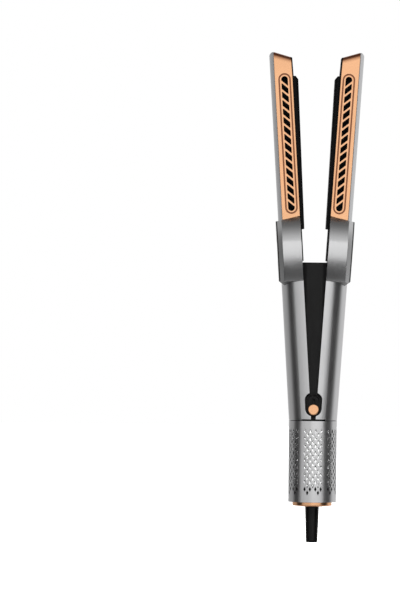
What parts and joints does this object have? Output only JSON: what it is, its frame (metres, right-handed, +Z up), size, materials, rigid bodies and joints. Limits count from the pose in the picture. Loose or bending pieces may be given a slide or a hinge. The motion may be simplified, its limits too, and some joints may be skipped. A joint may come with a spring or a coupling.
{
  "type": "hot air styler",
  "caption": "Hot air styler with hinged arms on a round handle: black plates inside, slotted air vents in front, keys and a display behind, and a lock and a perforated filter cage.",
  "frame": {"origin": "centre of the filter cage's foot, on the handle's axis", "axes": "+Z up the handle to the arms' tips, +X to the right of the front view, -Y to the front with the vents and the lock, +Y to the back with the display and the keys"},
  "size_m": [0.0712, 0.04, 0.3672],
  "materials": {
    "silver": "satin silver",
    "copper": "satin rose copper",
    "dark_satin": "dark satin metallic paint",
    "pad_silver": "bright silver paint",
    "black_plastic": "fine matte",
    "inner_plastic": "plain moulded",
    "plate_coat": "smooth black ceramic coat",
    "heater_metal": "plain",
    "window": "smoked, satin",
    "mesh": "fine silvery mesh",
    "steel": "plain",
    "soft_black": "matte",
    "board": "board lacquer"
  },
  "bodies": {
    "handle": {"handle_base": "black_plastic", "intake_frame": "inner_plastic", "filter_sleeve": "mesh", "motor": "steel", "motor_mount": "soft_black", "end_ring": "copper", "strain_relief": "soft_black", "cord_clamp": "inner_plastic", "core_front_cover": "black_plastic", "core_back_cover": "black_plastic", "core_screws": "steel", "control_board": "board", "key_switches": "inner_plastic", "key_strip": "copper", "display_window": "window", "display_module": "inner_plastic", "lock_detent": "steel", "left_hinge_pin": "steel", "right_hinge_pin": "steel", "left_hinge_spring": "steel", "right_hinge_spring": "steel"},
    "filter": {"filter_cage": "silver"},
    "rotor": {"impeller": "inner_plastic"},
    "lock": {"lock_knob": "copper", "lock_slider": "inner_plastic"},
    "left_arm": {"left_arm_shell": "silver", "left_arm_frame": "black_plastic", "left_vent_panel": "copper", "left_vent_grille": "copper", "left_air_duct": "inner_plastic", "left_heater": "heater_metal", "left_plate": "plate_coat", "left_collar": "dark_satin", "left_finger_pad": "pad_silver", "left_tip_cap": "black_plastic", "left_arm_screws": "steel"},
    "right_arm": {"right_arm_shell": "silver", "right_arm_frame": "black_plastic", "right_vent_panel": "copper", "right_vent_grille": "copper", "right_air_duct": "inner_plastic", "right_heater": "heater_metal", "right_plate": "plate_coat", "right_collar": "dark_satin", "right_finger_pad": "pad_silver", "right_tip_cap": "black_plastic", "right_arm_screws": "steel"},
    "power_key_body": {"power_key": "copper"},
    "cool_key_body": {"cool_key": "copper"},
    "airflow_key_body": {"airflow_key": "copper"},
    "temperature_key_body": {"temperature_key": "copper"},
    "mode_key_body": {"mode_key": "copper"}
  },
  "joints": [
    {"name": "left_arm_hinge", "type": "hinge", "parent": "handle", "child": "left_arm", "pos_m": [-0.0088, 0, 0.066], "axis": [0, 1, 0], "range_deg": [0, 3.09], "stiffness_Nm_per_rad": 2.8, "springref_deg": -4.01},
    {"name": "right_arm_hinge", "type": "hinge", "parent": "handle", "child": "right_arm", "pos_m": [0.0088, 0, 0.066], "axis": [0, -1, 0], "range_deg": [0, 3.09], "stiffness_Nm_per_rad": 2.8, "springref_deg": -4.01},
    {"name": "lock_slide", "type": "slide", "parent": "handle", "child": "lock", "axis": [0, 0, 1], "range_m": [0, 0.0068]},
    {"name": "power_key_press", "type": "slide", "parent": "handle", "child": "power_key_body", "axis": [0, -1, 0], "range_m": [0, 0.0006], "stiffness_N_per_m": 1000, "springref_m": -0.0006},
    {"name": "cool_key_press", "type": "slide", "parent": "handle", "child": "cool_key_body", "axis": [0, -1, 0], "range_m": [0, 0.0006], "stiffness_N_per_m": 1000, "springref_m": -0.0006},
    {"name": "airflow_key_press", "type": "slide", "parent": "handle", "child": "airflow_key_body", "axis": [0, -1, 0], "range_m": [0, 0.0006], "stiffness_N_per_m": 1000, "springref_m": -0.0006},
    {"name": "temperature_key_press", "type": "slide", "parent": "handle", "child": "temperature_key_body", "axis": [0, -1, 0], "range_m": [0, 0.0006], "stiffness_N_per_m": 1000, "springref_m": -0.0006},
    {"name": "mode_key_press", "type": "slide", "parent": "handle", "child": "mode_key_body", "axis": [0, -1, 0], "range_m": [0, 0.0006], "stiffness_N_per_m": 1000, "springref_m": -0.0006},
    {"name": "filter_slide", "type": "slide", "parent": "handle", "child": "filter", "axis": [0, 0, -1], "range_m": [0, 0.064]},
    {"name": "impeller_spin", "type": "hinge", "parent": "handle", "child": "rotor", "pos_m": [0, 0, 0.04], "axis": [0, 0, 1], "continuous": true}
  ]
}
